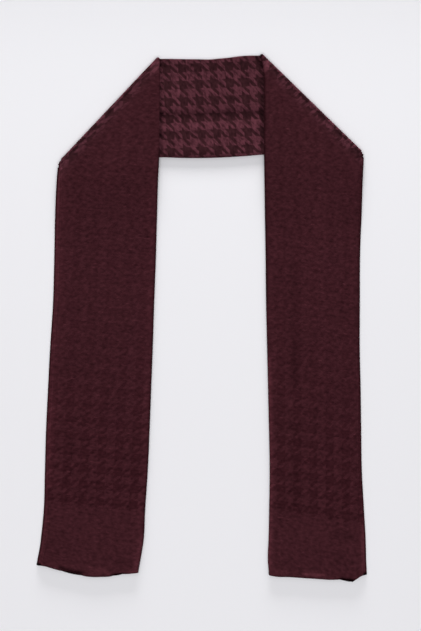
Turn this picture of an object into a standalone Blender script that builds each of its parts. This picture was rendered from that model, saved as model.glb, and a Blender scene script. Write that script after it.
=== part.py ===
"""A rectangular shawl, folded lengthwise in four and laid flat on the ground.

The folded strip runs up the left front, turns over a diagonal fold, crosses behind the neck,
turns over a second diagonal fold and runs down the right front. Inside the two corner triangles
the fronts lie on the neck stretch; below it they come down to the ground.

Frame in metres: X to the right, Y from the ends of the fronts to the neck, Z up off the ground.
The origin is on the ground under the middle of the layout.

Across the strip runs from the doubled fold (the inner edge of a front, the top edge of the neck)
to the open edges. Height counts the layers as a front shows them, from the ground side up; the
neck stretch lies the other way up.
"""

import math
from collections import namedtuple

import bmesh
import bpy
import numpy as np
from mathutils import Vector

MM = 0.001

CUT_WIDTH = 700 * MM
LAYERS = 4
STRIP = CUT_WIDTH / LAYERS

PLY = 1.0 * MM
GAP = 0.3 * MM  # between layers, and at the seams between pieces
CORE = 2 * PLY + GAP
STACK = CORE + 2 * (PLY + GAP)
LIFT = STACK + GAP  # how far the neck stretch raises a front

HEM_WIDTH = 4.0 * MM
HEM_RISE = 0.3 * MM
TUCK = 9.0 * MM  # how far the folded open edge turns back in
TUCK_ROOM = 1.0 * MM  # between that turned-in edge and the hidden layers
CORE_INSET = 3.0 * MM  # from the folded edge to the free edge of the hidden layer above it
CORE_ROLL_INSET = 2.2 * MM  # from the doubled fold to the hidden layers' own fold inside it
LOWER_SHORT = 1.5 * MM  # the lower layers end this much short of the top one
LOWER_DROP_MOST = 5.0 * MM
GROOVE = 2.5 * MM  # between the ends of the two hidden layers

STEP_RUN = 140 * MM  # length over which a front comes down off the neck stretch
STEPS_BELOW_NECK = (140, 117, 93, 70, 47, 23)
STEP_EASE = 0.2  # share of that length rounded off at each end of the slope
TILT_FADE = 90 * MM  # below the step, sections turn level over this length
HEM_FADE = 55 * MM  # the hem's bow dies out over this length
HEM_SECTIONS = (14, 28, 42)
TURN_STEPS = 6
SEAM_IN = 2.0 * MM  # from the diagonal fold to the seam with the neck stretch, underneath

# Where sections have points, as shares of the way across
TOP_SHARES = (0.90, 0.87, 0.80, 0.70, 0.58, 0.46, 0.34, 0.24, 0.14, 0.065)
BOTTOM_SHARES = (0.15, 0.45, 0.72, 0.88)
CORE_SHARES = (0.12, 0.35, 0.60, 0.83)

Section = namedtuple("Section", "y inner outer ledge")
Bow = namedtuple("Bow", "share drop")
Row = namedtuple("Row", "inner outer pivot turn out ledge bow bow_weight")

# Each front's outline in mm: a section across it at height y of the layout, the x of its doubled
# fold and of its open edge, and how far the hemmed top layer stays inside that edge.
LEFT_SECTIONS = (
    Section(-446, -111.1, -289.4, 7.0),
    Section(-420, -106.5, -285.9, 7.0),
    Section(-392, -102.0, -282.4, 8.0),
    Section(-336, -99.0, -276.8, 8.5),
    Section(-266, -94.3, -274.8, 7.0),
    Section(-196, -91.2, -272.8, 6.0),
    Section(-126, -88.5, -269.5, 6.0),
    Section(-56, -85.8, -265.9, 6.0),
    Section(28, -83.1, -260.5, 6.0),
    Section(112, -80.0, -258.3, 6.5),
    Section(182, -78.0, -256.7, 8.0),
    Section(240, -76.3, -253.8, 8.5),
    Section(266, -75.0, -251.8, 7.0),
)
RIGHT_SECTIONS = (
    Section(-448, 117.6, 289.4, 6.0),
    Section(-420, 115.7, 288.2, 6.5),
    Section(-392, 116.9, 287.5, 6.5),
    Section(-336, 118.1, 284.4, 6.5),
    Section(-266, 119.0, 280.6, 6.0),
    Section(-196, 117.8, 279.5, 5.5),
    Section(-126, 116.2, 278.6, 5.5),
    Section(-56, 114.6, 277.0, 5.5),
    Section(28, 112.7, 277.2, 5.5),
    Section(112, 111.8, 277.6, 5.5),
    Section(182, 110.6, 280.2, 5.5),
    Section(240, 109.7, 281.8, 5.5),
    Section(283, 109.0, 283.9, 5.5),
)

# Each end's hem in mm: how far the top layer hangs below its end section.
LEFT_BOW = (
    Bow(0.00, 0.3),
    Bow(0.12, 2.2),
    Bow(0.24, 6.1),
    Bow(0.33, 7.3),
    Bow(0.47, 7.2),
    Bow(0.60, 3.8),
    Bow(0.71, -0.4),
    Bow(0.83, -6.8),
    Bow(0.95, -12.2),
    Bow(1.00, -12.0),
)
RIGHT_BOW = (
    Bow(0.00, 2.4),
    Bow(0.07, 4.8),
    Bow(0.19, 5.5),
    Bow(0.44, 8.3),
    Bow(0.68, 10.2),
    Bow(0.80, 13.6),
    Bow(0.87, 14.0),
    Bow(0.94, 4.0),
    Bow(1.00, 1.5),
)

# The neck stretch's edges in mm, from left to right; its corners are the diagonal folds' ends.
Point = namedtuple("Point", "x y")
NECK_TOP = (
    Point(-73.3, 454.0),
    Point(-45, 453.6),
    Point(5, 452.9),
    Point(15, 452.8),
    Point(26, 453.8),
    Point(48, 456.0),
    Point(75, 459.2),
    Point(101.8, 459.6),
)
NECK_BOTTOM = (
    Point(-250.2, 266.7),
    Point(-159, 275.1),
    Point(-74.3, 281.2),
    Point(-28, 280.0),
    Point(5, 280.0),
    Point(60, 282.3),
    Point(109, 286.0),
    Point(282.2, 283.6),
)
NECK_SHARES = (0, 1 / 6, 2 / 6, 5 / 12, 1 / 2, 7 / 12, 4 / 6, 5 / 6, 1)

# The inner edge of each front over the neck stretch in mm, from its lower edge to the fold's end,
# and where the open edge starts to swing round to the fold's other end.
LEFT_CLIMB = (Point(-74.3, 281.2), Point(-74.0, 325), Point(-73.6, 370), Point(-73.4, 413), NECK_TOP[0])
RIGHT_CLIMB = (
    Point(109, 286),
    Point(109, 330),
    Point(109, 375),
    Point(108.8, 425),
    Point(106.6, 443),
    NECK_TOP[-1],
)
LEFT_SWING = Point(-251.3, 262.5)
RIGHT_SWING = Point(283.0, 280.5)

Front = namedtuple("Front", "name sections bow climb swing corner")
LEFT = Front("left", LEFT_SECTIONS, LEFT_BOW, LEFT_CLIMB, LEFT_SWING, NECK_BOTTOM[0])
RIGHT = Front("right", RIGHT_SECTIONS, RIGHT_BOW, RIGHT_CLIMB, RIGHT_SWING, NECK_BOTTOM[-1])

NECK_LEDGE = 6.0 * MM
NO_TURN = Vector((0, 0, 0))

BURGUNDY = (0.040, 0.0105, 0.0150)
BURGUNDY_SHEEN = (0.056, 0.0155, 0.0205)
BURGUNDY_SHADE = (0.028, 0.0070, 0.0100)
BURGUNDY_HEM = (0.046, 0.0125, 0.0175)


def clear_scene():
    for old in list(bpy.data.objects):
        bpy.data.objects.remove(old, do_unlink=True)


def cloth_material(name, colour, roughness):
    material = bpy.data.materials.new(name)
    material.use_nodes = True
    shader = material.node_tree.nodes["Principled BSDF"]
    shader.inputs["Base Color"].default_value = (*colour, 1)
    shader.inputs["Roughness"].default_value = roughness
    shader.inputs["Metallic"].default_value = 0
    return material


def on_ground(point):
    """A table's point, in mm, as a place on the ground in metres."""
    return Vector((point.x * MM, point.y * MM, 0))


def smooth_step(share):
    share = min(max(share, 0), 1)
    return share * share * (3 - 2 * share)


def slope_step(share):
    """From 0 to 1 on an even slope, rounded off at both ends."""
    share = min(max(share, 0), 1)
    side = min(share, 1 - share)
    rise = side * side / (2 * STEP_EASE) if side < STEP_EASE else side - STEP_EASE / 2
    rise /= 1 - STEP_EASE
    return rise if share < 0.5 else 1 - rise


def column(table, name):
    return [getattr(row, name) * MM for row in table]


def front_row(front, y, lift):
    """A section across a front whose inner end is at y, turned level away from the neck."""
    heights = column(front.sections, "y")
    neck_edge = front.climb[0].y * MM
    below = neck_edge - y
    tilt = (front.swing.y * MM - neck_edge) * smooth_step(1 - (below - STEP_RUN) / TILT_FADE)
    inner = np.interp(y, heights, column(front.sections, "inner"))
    outer = np.interp(y + tilt, heights, column(front.sections, "outer"))
    ledge = np.interp(y, heights, column(front.sections, "ledge"))
    weight = 1 - smooth_step((y - heights[0]) / HEM_FADE)
    ends = Vector((inner, y, 0)), Vector((outer, y + tilt, 0))
    return Row(*ends, lift - GAP / 2, 0, NO_TURN, ledge, front.bow, weight)


def flat_rows(front):
    """Sections from just above the end hem to where the front starts to climb."""
    end = front.sections[0].y * MM
    climb_start = front.climb[0].y * MM - STEP_RUN
    heights = [end + HEM_WIDTH + GAP] + [end + up * MM for up in HEM_SECTIONS]
    heights += [section.y * MM for section in front.sections[2:] if section.y * MM < climb_start]
    return [front_row(front, y, 0) for y in heights]


def hem_rows(front):
    end = front.sections[0].y * MM
    return [front_row(front, end + share * HEM_WIDTH, 0) for share in (0, 0.5, 1)]


def step_rows(front):
    """Sections of the slope up onto the neck stretch, parallel to its lower edge."""
    edge = front.climb[0].y * MM
    return [front_row(front, edge - s * MM, LIFT * slope_step(1 - s * MM / STEP_RUN)) for s in STEPS_BELOW_NECK]


def triangle_rows(front):
    """Sections over the neck stretch, fanned out round the outer end of the diagonal fold."""
    swing, corner = on_ground(front.swing), on_ground(front.corner)
    ledge = front.sections[-1].ledge * MM
    rows = []
    for k, point in enumerate(front.climb):
        outer = swing.lerp(corner, k / (len(front.climb) - 1))
        rows.append(Row(on_ground(point), outer, LIFT - GAP / 2, 0, NO_TURN, ledge, None, 0))
    return rows


def fold_direction(front):
    """The way on the ground that a front's diagonal fold faces."""
    along = on_ground(front.corner) - on_ground(front.climb[-1])
    out = Vector((along.y, -along.x, 0)).normalized()
    return out * math.copysign(1, out.x * front.corner.x)


def shifted(row, by):
    return row._replace(inner=row.inner + by, outer=row.outer + by)


def fold_rows(front):
    """Sections round the diagonal fold, from the front's side of it to the seam underneath."""
    start = triangle_rows(front)[-1]._replace(out=fold_direction(front))
    turns = [math.pi * k / TURN_STEPS for k in range(1, TURN_STEPS + 1)]
    rows = [start._replace(turn=turn) for turn in turns]
    return rows + [shifted(rows[-1], -SEAM_IN * start.out)]


def front_rows(front):
    return flat_rows(front) + step_rows(front) + triangle_rows(front) + fold_rows(front)


def neck_rows():
    """Sections of the neck stretch from one diagonal fold to the other."""
    rows = []
    for share in NECK_SHARES:
        ends = []
        for edge in (NECK_TOP, NECK_BOTTOM):
            x = edge[0].x + share * (edge[-1].x - edge[0].x)
            y = np.interp(x, [point.x for point in edge], [point.y for point in edge])
            ends.append(on_ground(Point(x, y)))
        rows.append(Row(*ends, STACK + GAP / 2, math.pi, NO_TURN, NECK_LEDGE, None, 0))
    rows[0] = shifted(rows[0], -(SEAM_IN + GAP) * fold_direction(LEFT))
    rows[-1] = shifted(rows[-1], -(SEAM_IN + GAP) * fold_direction(RIGHT))
    return rows


def end_drop(row, share, height):
    """How far the cloth's end hangs below its end section, for the layer at this height."""
    shares = [place.share for place in row.bow]
    top = np.interp(share, shares, column(row.bow, "drop"))
    lower = min(top, LOWER_DROP_MOST) - LOWER_SHORT
    return lower + (top - lower) * min(height / (STACK - PLY), 1)


def place(row, across, height):
    """The point of the laid strip at this distance across it and height in its layers."""
    share = across / STRIP
    radius = height + GAP / 2
    point = row.inner.lerp(row.outer, share) + row.out * (radius * math.sin(row.turn))
    if row.bow_weight:
        point.y -= row.bow_weight * end_drop(row, share, height)
    point.z = row.pivot + radius * math.cos(row.turn)
    return point


def arc(across, height, radius, start, stop, steps):
    angles = [math.radians(start + (stop - start) * k / steps) for k in range(steps + 1)]
    return [(across + radius * math.cos(a), height + radius * math.sin(a)) for a in angles]


def outer_layer_line(row, top, inside):
    """One face of the outer layer: from its open edge over the doubled fold, back along the
    ground side, round the folded open edge and a little way in; inside is how deep it lies."""
    roll = top / 2
    fold = PLY + GAP / 2
    line = [(STRIP - row.ledge - HEM_WIDTH - GAP, top - inside)]
    line += [(share * STRIP, top - inside) for share in TOP_SHARES]
    line += arc(roll, roll, roll - inside, 90, 270, 6)
    line += [(share * STRIP, inside) for share in BOTTOM_SHARES]
    line += arc(STRIP - fold, fold, fold - inside, -90, 90, 4)
    return line + [(STRIP - TUCK, 2 * fold - inside)]


def outer_layer_section(row):
    return outer_layer_line(row, STACK, 0) + outer_layer_line(row, STACK, PLY)[::-1]


def end_hem_section(row):
    """The same layer where the hem thickens it, out to the edge of the side hem."""
    top, edge = STACK + HEM_RISE, STRIP - row.ledge
    outside = [(edge, top)] + outer_layer_line(row, top, 0)
    return outside + outer_layer_line(row, top, PLY)[::-1] + [(edge, top - PLY)]


def side_hem_section(row):
    """Rounded bead along the top layer's open edge; it flattens where the fold turns it under."""
    right = STRIP - row.ledge
    left = right - HEM_WIDTH
    low = STACK - PLY
    high = STACK + HEM_RISE * (1 - row.turn / math.pi)
    corner = 0.35 * MM
    return [
        (left, low + corner),
        (left + corner, low),
        (right - corner, low),
        (right, low + corner),
        (right, high - corner),
        (right - 2 * corner, high),
        (left + 2 * corner, high),
        (left, high - corner),
    ]


def core_section(row):
    """The two hidden layers: upper side, stepped open edge and lower side of one solid."""
    low, high = PLY + GAP, PLY + GAP + CORE
    middle = (low + high) / 2
    left = CORE_ROLL_INSET
    roll = CORE / 2
    shelf = 2 * (PLY + GAP)
    tuck_end = STRIP - TUCK - TUCK_ROOM
    upper = [(left + 0.3 * roll, middle + 0.7 * roll), (left + roll, high)]
    upper += [(share * STRIP, high) for share in CORE_SHARES] + [(STRIP - CORE_INSET, high)]
    lower = [(left + 0.3 * roll, middle - 0.7 * roll), (left + roll, low)]
    lower += [(share * STRIP, low) for share in CORE_SHARES] + [(tuck_end, low)]
    step = [(STRIP - CORE_INSET, shelf), (tuck_end, shelf)]
    return [(left, middle), *upper, *step, *reversed(lower)]


def new_object(name, points, faces, material, collection):
    mesh = bpy.data.meshes.new(name)
    mesh.from_pydata([tuple(point) for point in points], [], faces)
    mesh.materials.append(material)
    built = bmesh.new()
    built.from_mesh(mesh)
    if all(edge.is_manifold for edge in built.edges):
        bmesh.ops.recalc_face_normals(built, faces=built.faces)
    built.to_mesh(mesh)
    built.free()
    mesh.set_sharp_from_angle(angle=math.radians(50))
    made = bpy.data.objects.new(name, mesh)
    collection.objects.link(made)
    return made


def closed_loft(name, rows, section, material, collection, caps):
    """A solid lofted through closed sections; caps gives each end's faces and extra points."""
    lines = [[place(row, across, height) for across, height in section(row)] for row in rows]
    count = len(lines[0])
    faces = []
    for i in range(len(rows) - 1):
        for k in range(count):
            low, high = i * count + k, (i + 1) * count + k
            low_next, high_next = i * count + (k + 1) % count, (i + 1) * count + (k + 1) % count
            faces.append((low, low_next, high_next, high))
    points = sum(lines, [])
    for line, neighbour, start in ((lines[0], lines[1], 0), (lines[-1], lines[-2], len(points) - count)):
        extra, end_faces = caps(line, neighbour, start, len(points))
        points = points + extra
        faces += end_faces
    return new_object(name, points, faces, material, collection)


def plain_cap(line, _neighbour, start, _count):
    return [], [tuple(range(start, start + len(line)))]


def wall_cap(line, _neighbour, start, _count):
    """The cut end of a layer: its outside and inside points, paired across the wall."""
    last = start + len(line) - 1
    pairs = [(start + k, last - k) for k in range(len(line) // 2)]
    return [], [(a, b, d, c) for (a, b), (c, d) in zip(pairs, pairs[1:])]


def grooved_cap(line, neighbour, start, count):
    """An end with a groove between the two hidden layers."""
    size = len(CORE_SHARES) + 3
    upper = list(range(1, size + 1))
    step_top, step_in = size + 1, size + 2
    lower = list(range(len(line) - 1, step_in, -1))
    extra = []
    middle = [start]
    for k in range(1, size - 1):
        inward = (neighbour[upper[k]] - line[upper[k]]).normalized() * GROOVE
        extra.append((line[upper[k]] + line[lower[k]]) / 2 + inward)
        middle.append(count + len(extra) - 1)
    middle.append(start + step_in)
    faces = []
    for k in range(size - 1):
        faces.append((start + upper[k], start + upper[k + 1], middle[k + 1], middle[k]))
        faces.append((middle[k], middle[k + 1], start + lower[k + 1], start + lower[k]))
    last = faces[-2]
    faces[-2] = (last[0], last[1], start + step_top, last[2], last[3])
    return extra, faces


def build_front(front, materials, collection):
    name = f"{front.name}_front"
    rows = front_rows(front)
    hem = hem_rows(front)
    if front is RIGHT:
        rows.reverse()
        hem.reverse()
    closed_loft(name, rows, outer_layer_section, materials["front"], collection, wall_cap)
    closed_loft(f"{front.name}_end_hem", hem, end_hem_section, materials["hem"], collection, wall_cap)
    closed_loft(f"{front.name}_side_hem", rows, side_hem_section, materials["hem"], collection, plain_cap)
    closed_loft(f"{name}_layers", rows, core_section, materials["layers"], collection, grooved_cap)


def build_neck(materials, collection):
    rows = neck_rows()
    closed_loft("neck", rows, outer_layer_section, materials["neck"], collection, wall_cap)
    closed_loft("neck_layers", rows, core_section, materials["layers"], collection, plain_cap)


def main():
    clear_scene()
    collection = bpy.data.collections.new("rectangular_shawl")
    bpy.context.scene.collection.children.link(collection)
    materials = {
        "front": cloth_material("burgundy_jacquard", BURGUNDY, 0.62),
        "neck": cloth_material("burgundy_jacquard_across", BURGUNDY_SHEEN, 0.58),
        "layers": cloth_material("burgundy_hidden_layers", BURGUNDY_SHADE, 0.70),
        "hem": cloth_material("burgundy_hem", BURGUNDY_HEM, 0.65),
    }
    for front in (LEFT, RIGHT):
        build_front(front, materials, collection)
    build_neck(materials, collection)


main()
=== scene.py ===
"""Looks of the folded shawl: fine cloth on the solids' form, houndstooth weave, hems and a studio.

The frame is the solids' own, in metres: X to the right, Y from the ends of the fronts to the neck,
Z up off the ground. A row lies across the folded strip, from its doubled fold to its open edges.
"""

import math
from collections import namedtuple

import bpy
import numpy as np
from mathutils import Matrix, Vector


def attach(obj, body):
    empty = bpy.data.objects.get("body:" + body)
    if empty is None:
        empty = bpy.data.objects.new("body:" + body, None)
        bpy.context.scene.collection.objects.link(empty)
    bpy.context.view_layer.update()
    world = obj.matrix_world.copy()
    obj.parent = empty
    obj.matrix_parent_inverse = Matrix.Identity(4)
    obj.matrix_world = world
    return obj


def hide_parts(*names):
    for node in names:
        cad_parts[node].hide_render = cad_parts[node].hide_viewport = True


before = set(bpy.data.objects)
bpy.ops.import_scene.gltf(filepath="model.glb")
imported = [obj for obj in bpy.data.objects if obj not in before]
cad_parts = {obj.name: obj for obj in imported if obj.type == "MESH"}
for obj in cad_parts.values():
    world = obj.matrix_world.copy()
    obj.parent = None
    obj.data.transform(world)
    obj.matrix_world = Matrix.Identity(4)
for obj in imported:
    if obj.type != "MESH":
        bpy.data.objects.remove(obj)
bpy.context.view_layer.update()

MM = 0.001

# ---------------------------------------------------------------- the folded strip of the solids

STRIP = 175.0 * MM
STACK = 4.9 * MM
GAP = 0.3 * MM  # between the solids
LIFT = STACK + GAP  # of the fronts, where they lie on the neck stretch
CLOTH = 0.55 * MM  # thickness of the cloth as it shows
HEM_WIDTH = 4.0 * MM
HEM_THICKNESS = 1.15 * MM
HIDDEN_TOP = 3.55 * MM
HIDDEN_LOW = 1.35 * MM
HIDDEN_ROLL_INSET = 2.2 * MM
HIDDEN_LEDGE = 3.0 * MM
TUCK = 9.0 * MM  # depth of the fold at the open edges
TUCK_ROOM = 1.0 * MM  # from there to the hidden layers
OPEN_FOLD = 1.15 * MM  # radius of that fold
HEM_INSET = 1.0 * MM  # how far the top layer ends inside its side hem
STEP_RUN = 140 * MM  # length of the slope onto the neck stretch
STEP_EASE = 0.2  # share of the slope rounded off at each end
TILT_FADE = 90 * MM  # below the slope, over which the rows come level
HEM_FADE = 55 * MM  # above the end, over which its drops fade out
SEAM_IN = 2.0 * MM  # from the diagonal fold, underneath
# A front's end hangs by the lower drops up to this height in the stack, and by the top ones above.
OVER_FROM = 2.4 * MM
OVER_RUN = 1.3 * MM
UPSIDE_DOWN = 3.0  # rows turned by more than this, in radians, lie the other way up
HEM_RISE = 0.25 * MM  # how far the side hem stands up from the cloth
HEM_GIRTH = 0.9  # the end hem's thickness, as a share of the side hem's
HEM_POINTS = 20  # round the side hem
HEM_SQUARENESS = 0.55  # of the side hem's section: 1 is an ellipse
FLOOR_CLEARANCE = 0.02 * MM

FOLD_STEPS = 14  # rows round a diagonal fold
NECK_ROWS = 221
END_HEM_ROWS = 9
ROLL_STEPS = 12  # points round the doubled fold
OPEN_FOLD_STEPS = 8
SHARP_ANGLE = math.radians(60)
FINE = 3.5 * MM  # spacing of rows and points where the cloth shows
COARSE = 8.0 * MM  # underneath
END_FINE = 2.0 * MM  # rows near the ends
EDGE_FINE = 1.3 * MM
EDGE_ZONE = 14.0 * MM

STITCH_PITCH = 2.8 * MM
STITCH_LENGTH = 2.0 * MM
STITCH_RADIUS = 0.18 * MM
STITCH_SIDES = 6
SEWING_IN = 0.7 * MM  # from the hem's inner edge
SEWING_LIFT = 0.2 * MM
SEWING_START = 4 * MM  # from the front's inner edge
SEWING_POINTS = 60

Section = namedtuple("Section", "y inner outer ledge")
Drop = namedtuple("Drop", "share top lower")
Point = namedtuple("Point", "x y")
Front = namedtuple("Front", "name sections drops climb swing corner")
Rows = namedtuple("Rows", "inner outer pivot turn out ledge weight drops")
Weave = namedtuple("Weave", "front lattice creases shades edges")

LEFT_SECTIONS = (
    Section(-446, -111.1, -289.4, 7.0),
    Section(-420, -106.5, -285.9, 7.0),
    Section(-392, -102.0, -282.4, 8.0),
    Section(-336, -99.0, -276.8, 8.5),
    Section(-266, -94.3, -274.8, 7.0),
    Section(-196, -91.2, -272.8, 6.0),
    Section(-126, -88.5, -269.5, 6.0),
    Section(-56, -85.8, -265.9, 6.0),
    Section(28, -83.1, -260.5, 6.0),
    Section(112, -80.0, -258.3, 6.5),
    Section(182, -78.0, -256.7, 8.0),
    Section(240, -76.3, -253.8, 8.5),
    Section(266, -75.0, -251.8, 7.0),
)
RIGHT_SECTIONS = (
    Section(-448, 117.6, 289.4, 6.0),
    Section(-420, 115.7, 288.2, 6.5),
    Section(-392, 116.9, 287.5, 6.5),
    Section(-336, 118.1, 284.4, 6.5),
    Section(-266, 119.0, 280.6, 6.0),
    Section(-196, 117.8, 279.5, 5.5),
    Section(-126, 116.2, 278.6, 5.5),
    Section(-56, 114.6, 277.0, 5.5),
    Section(28, 112.7, 277.2, 5.5),
    Section(112, 111.8, 277.6, 5.5),
    Section(182, 110.6, 280.2, 5.5),
    Section(240, 109.7, 281.8, 5.5),
    Section(283, 109.0, 283.9, 5.5),
)

# How far the top layer and the layers under it hang below each front's end section, in mm.
LEFT_DROPS = (
    Drop(0.00, 0.3, -1.0),
    Drop(0.12, 2.2, 1.0),
    Drop(0.20, 2.2, 4.8),
    Drop(0.27, 6.2, 5.6),
    Drop(0.36, 7.3, 5.4),
    Drop(0.47, 7.2, 5.4),
    Drop(0.53, 5.8, 5.2),
    Drop(0.62, 0.2, 3.4),
    Drop(0.70, -3.2, 0.2),
    Drop(0.76, -3.6, -3.4),
    Drop(0.83, -6.8, -7.4),
    Drop(0.95, -12.2, -12.8),
    Drop(1.00, -12.0, -13.0),
)
RIGHT_DROPS = (
    Drop(0.00, 2.4, 0.6),
    Drop(0.07, 4.8, 3.2),
    Drop(0.19, 5.5, 4.0),
    Drop(0.44, 8.3, 5.0),
    Drop(0.68, 10.2, 8.4),
    Drop(0.74, 9.6, 11.0),
    Drop(0.80, 10.6, 13.2),
    Drop(0.86, 11.0, 14.0),
    Drop(0.90, 8.6, 9.2),
    Drop(0.94, 4.0, 4.0),
    Drop(1.00, 1.5, 1.5),
)

NECK_TOP = (
    Point(-73.3, 454.0),
    Point(-45, 453.6),
    Point(5, 452.9),
    Point(15, 452.8),
    Point(26, 453.8),
    Point(48, 456.0),
    Point(75, 459.2),
    Point(101.8, 459.6),
)
NECK_BOTTOM = (
    Point(-250.2, 266.7),
    Point(-159, 275.1),
    Point(-74.3, 281.2),
    Point(-28, 280.0),
    Point(5, 280.0),
    Point(60, 282.3),
    Point(109, 286.0),
    Point(282.2, 283.6),
)
LEFT_CLIMB = (
    Point(-74.3, 281.2),
    Point(-74.0, 325),
    Point(-73.6, 370),
    Point(-73.4, 413),
    NECK_TOP[0],
)
RIGHT_CLIMB = (
    Point(109, 286),
    Point(109, 330),
    Point(109, 375),
    Point(108.8, 425),
    Point(106.6, 443),
    NECK_TOP[-1],
)
NECK_LEDGE = 6.0 * MM

LEFT = Front("left", LEFT_SECTIONS, LEFT_DROPS, LEFT_CLIMB, Point(-251.3, 262.5), NECK_BOTTOM[0])
RIGHT = Front(
    "right", RIGHT_SECTIONS, RIGHT_DROPS, RIGHT_CLIMB, Point(283.0, 280.5), NECK_BOTTOM[-1]
)

# ---------------------------------------------------------------- creases and painted light and shade

# A soft long mark in mm: its middle, the way it runs in degrees from X, half its length, half its
# width, and its height in mm for a crease (negative for a trough) or, for painted light and shade,
# its change of lightness.
Mark = namedtuple("Mark", "x y angle reach width height")

NECK_CREASES = (
    Mark(18, 351, 1.5, 150, 7.0, -1.5),
    Mark(18, 364, 1.5, 150, 15.0, -0.6),
    Mark(60, 395, 3.0, 60, 9.0, -0.4),
    Mark(18, 311, 1.0, 120, 8.0, -0.4),
    Mark(-71, 449, 75, 9, 3.0, -2.4),
    Mark(99, 452, 115, 9, 4.0, -1.6),
)
LEFT_CREASES = (
    Mark(-88, 355, 0, 12, 1.6, -0.5),
    Mark(-88, 350, 3, 11, 1.4, -0.4),
    Mark(-251, 79, 5, 8, 1.6, -0.5),
    Mark(-244, -149, 2, 14, 1.8, -0.5),
    Mark(-160, -425, 2, 8, 2.0, -0.6),
    Mark(-238, -60, 84, 150, 9.0, -0.35),
    Mark(-150, 120, 80, 120, 20.0, -0.5),
    Mark(-185, -290, 95, 90, 22.0, -0.4),
)
RIGHT_CREASES = (
    Mark(146, 322, -6, 12, 1.6, -0.5),
    Mark(146, 317, -3, 11, 1.4, -0.4),
    Mark(258, 171, 0, 8, 1.8, -0.5),
    Mark(249, -385, -4, 22, 6.0, -0.9),
    Mark(161, -118, 88, 45, 5.0, -0.5),
    Mark(240, 60, 92, 130, 18.0, -0.45),
    Mark(190, -240, 86, 100, 24.0, -0.5),
)

# Painted shade on the neck: a darker row along its crease and at its top, painted shadows along
# each front's inner edge and in the corner gaps, and a dark line along its lower edge.
NECK_PAINTED_SHADE = (
    Mark(18, 358, 1.5, 170, 4.5, -0.42),
    Mark(15, 444, 1.0, 120, 16.0, -0.16),
    Mark(105.8, 368, 90, 86, 1.8, -0.55),
    Mark(-71.5, 368, 90, 92, 1.6, -0.42),
    Mark(-70, 357, 30, 6, 3.0, -0.45),
    Mark(-70, 322, 30, 6, 3.0, -0.45),
    Mark(-71, 294, 30, 6, 3.0, -0.45),
    Mark(-73, 448, 80, 9, 3.5, -0.75),
    Mark(98, 455, 140, 9, 3.0, -0.55),
    Mark(104, 443, 105, 12, 2.0, -0.40),
    Mark(15, 282, 0.8, 120, 1.6, -0.35),
)
# Painted highlights and shade on the left front: light at the fold's inner corner and on the end
# hem, painted shadow under the lifted end hem, and broad lighter patches.
LEFT_PAINTED_LIGHT = (
    Mark(-83, 440, 50, 14, 5.0, 0.55),
    Mark(-79, 436, 90, 10, 3.0, 0.25),
    Mark(-181, -443, -6, 26, 3.0, 0.45),
    Mark(-240, -436, -14, 30, 3.0, 0.25),
    Mark(-124, -446, 5, 14, 3.0, 0.25),
    Mark(-140, -427, 4, 16, 2.0, -0.25),
    Mark(-229, -441.5, -14.5, 30, 2.4, -0.88),
    Mark(-147, -448.5, 5, 15, 1.8, -0.75),
    Mark(-270, -230, 89, 90, 6.0, 0.16),
    Mark(-150, 300, 40, 50, 20.0, 0.06),
)
# Painted highlights and shade on the right front: light at the fold's inner corner and on the end
# hem, painted shade along its creases, and painted shadow under the end hem's tip.
RIGHT_PAINTED_LIGHT = (
    Mark(112, 440, 60, 15, 5.0, 0.60),
    Mark(275, 282, 60, 6, 3.0, -0.55),
    Mark(162, -10, 90, 150, 7.0, -0.13),
    Mark(161, -78, 90, 55, 5.0, -0.12),
    Mark(163, -260, 90, 120, 8.0, -0.10),
    Mark(249, -385, -4, 24, 6.0, -0.22),
    Mark(240, -420, 80, 20, 7.0, -0.12),
    Mark(196, -449, -3, 26, 1.8, 1.10),
    Mark(140, -445, -2, 26, 2.0, 0.35),
    Mark(253, -457.5, -8, 17, 2.4, -0.88),
    Mark(205, 150, 95, 90, 12.0, 0.08),
)

# A painted highlight or painted shade in a line along an edge of a front: from height to height of
# the layout, how far in it lies and its half width, in mm, and its change of lightness. The fold's
# runs its whole length.
Edge = namedtuple("Edge", "edge low high inset width gain")
LEFT_PAINTED_EDGE_LINES = (
    Edge("outer", -440, -290, 5.0, 2.6, 0.30),
    Edge("outer", -300, -120, 5.5, 3.0, 0.55),
    Edge("outer", -130, 60, 5.0, 2.6, 0.42),
    Edge("outer", 50, 268, 5.0, 2.4, 0.60),
    Edge("outer", -300, 268, 11.0, 5.0, 0.18),
    Edge("outer", -440, 268, 0.6, 1.0, -0.35),
    Edge("inner", -445, 300, 0.8, 1.6, -0.38),
    Edge("inner", -445, 300, 9.0, 4.0, 0.12),
    Edge("inner", -452, -375, 4.5, 4.0, 0.42),
    Edge("fold", None, None, 0.0, 1.6, -0.40),
)
RIGHT_PAINTED_EDGE_LINES = (
    Edge("inner", 20, 470, 0.8, 2.0, -0.48),
    Edge("inner", -445, -60, 3.0, 3.4, 0.50),
    Edge("outer", -445, 290, 0.6, 1.2, -0.35),
    Edge("outer", -445, -90, 5.0, 2.0, 0.18),
    Edge("outer", -452, -345, 5.5, 3.0, 0.45),
    Edge("fold", None, None, 0.0, 1.6, -0.40),
)
EDGE_LINE_FADE = 12 * MM  # at both ends of an edge line
# Painted shade on the lower layers near a front's end, where the end hem shades them.
END_PAINTED_SHADE = -0.88  # the lower layers, in the shade of the end hem
END_DARK_RUN = 7 * MM
END_DARK_FADE = END_DARK_RUN * 0.6
END_DARK_BELOW = STACK - 1.0 * MM
DARKEST = -0.92
# How far the painted sheen reaches in from a diagonal fold, and where it stops.
FOLD_PAINTED_SHEEN = 12 * MM  # how far in from a diagonal fold its cloth catches the light
NO_PAINTED_SHEEN = 4 * FOLD_PAINTED_SHEEN

# ---------------------------------------------------------------- weave

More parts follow.
